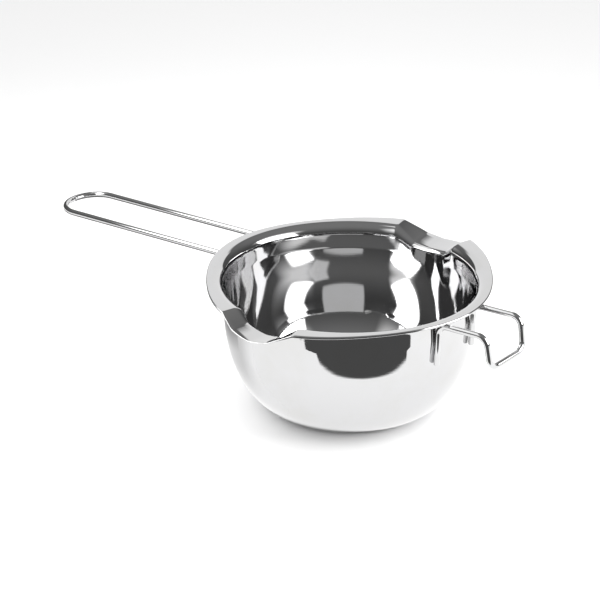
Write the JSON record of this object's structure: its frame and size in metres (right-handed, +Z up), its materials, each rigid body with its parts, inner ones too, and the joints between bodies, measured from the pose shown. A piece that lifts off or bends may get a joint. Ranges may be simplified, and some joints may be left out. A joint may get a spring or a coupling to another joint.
{
  "type": "wax melting pot",
  "caption": "Shallow polished steel bowl with pouring spouts on opposite sides, a long wire loop handle and a wire hook that hangs it on the edge of a pan of hot water",
  "frame": {"origin": "middle of the flat base, on the surface that the pot stands on", "axes": "+X from the bowl's axis to the hook, -X to the handle's far end, +Y to the rear spout, +Z up"},
  "size_m": [0.2755, 0.1488, 0.066],
  "materials": {
    "polished_sheet": "mirror-polished stainless steel sheet",
    "polished_wire": "polished stainless steel wire"
  },
  "bodies": {
    "root": {"bowl": "polished_sheet", "handle_wire": "polished_wire", "hook_wire": "polished_wire"}
  },
  "joints": []
}
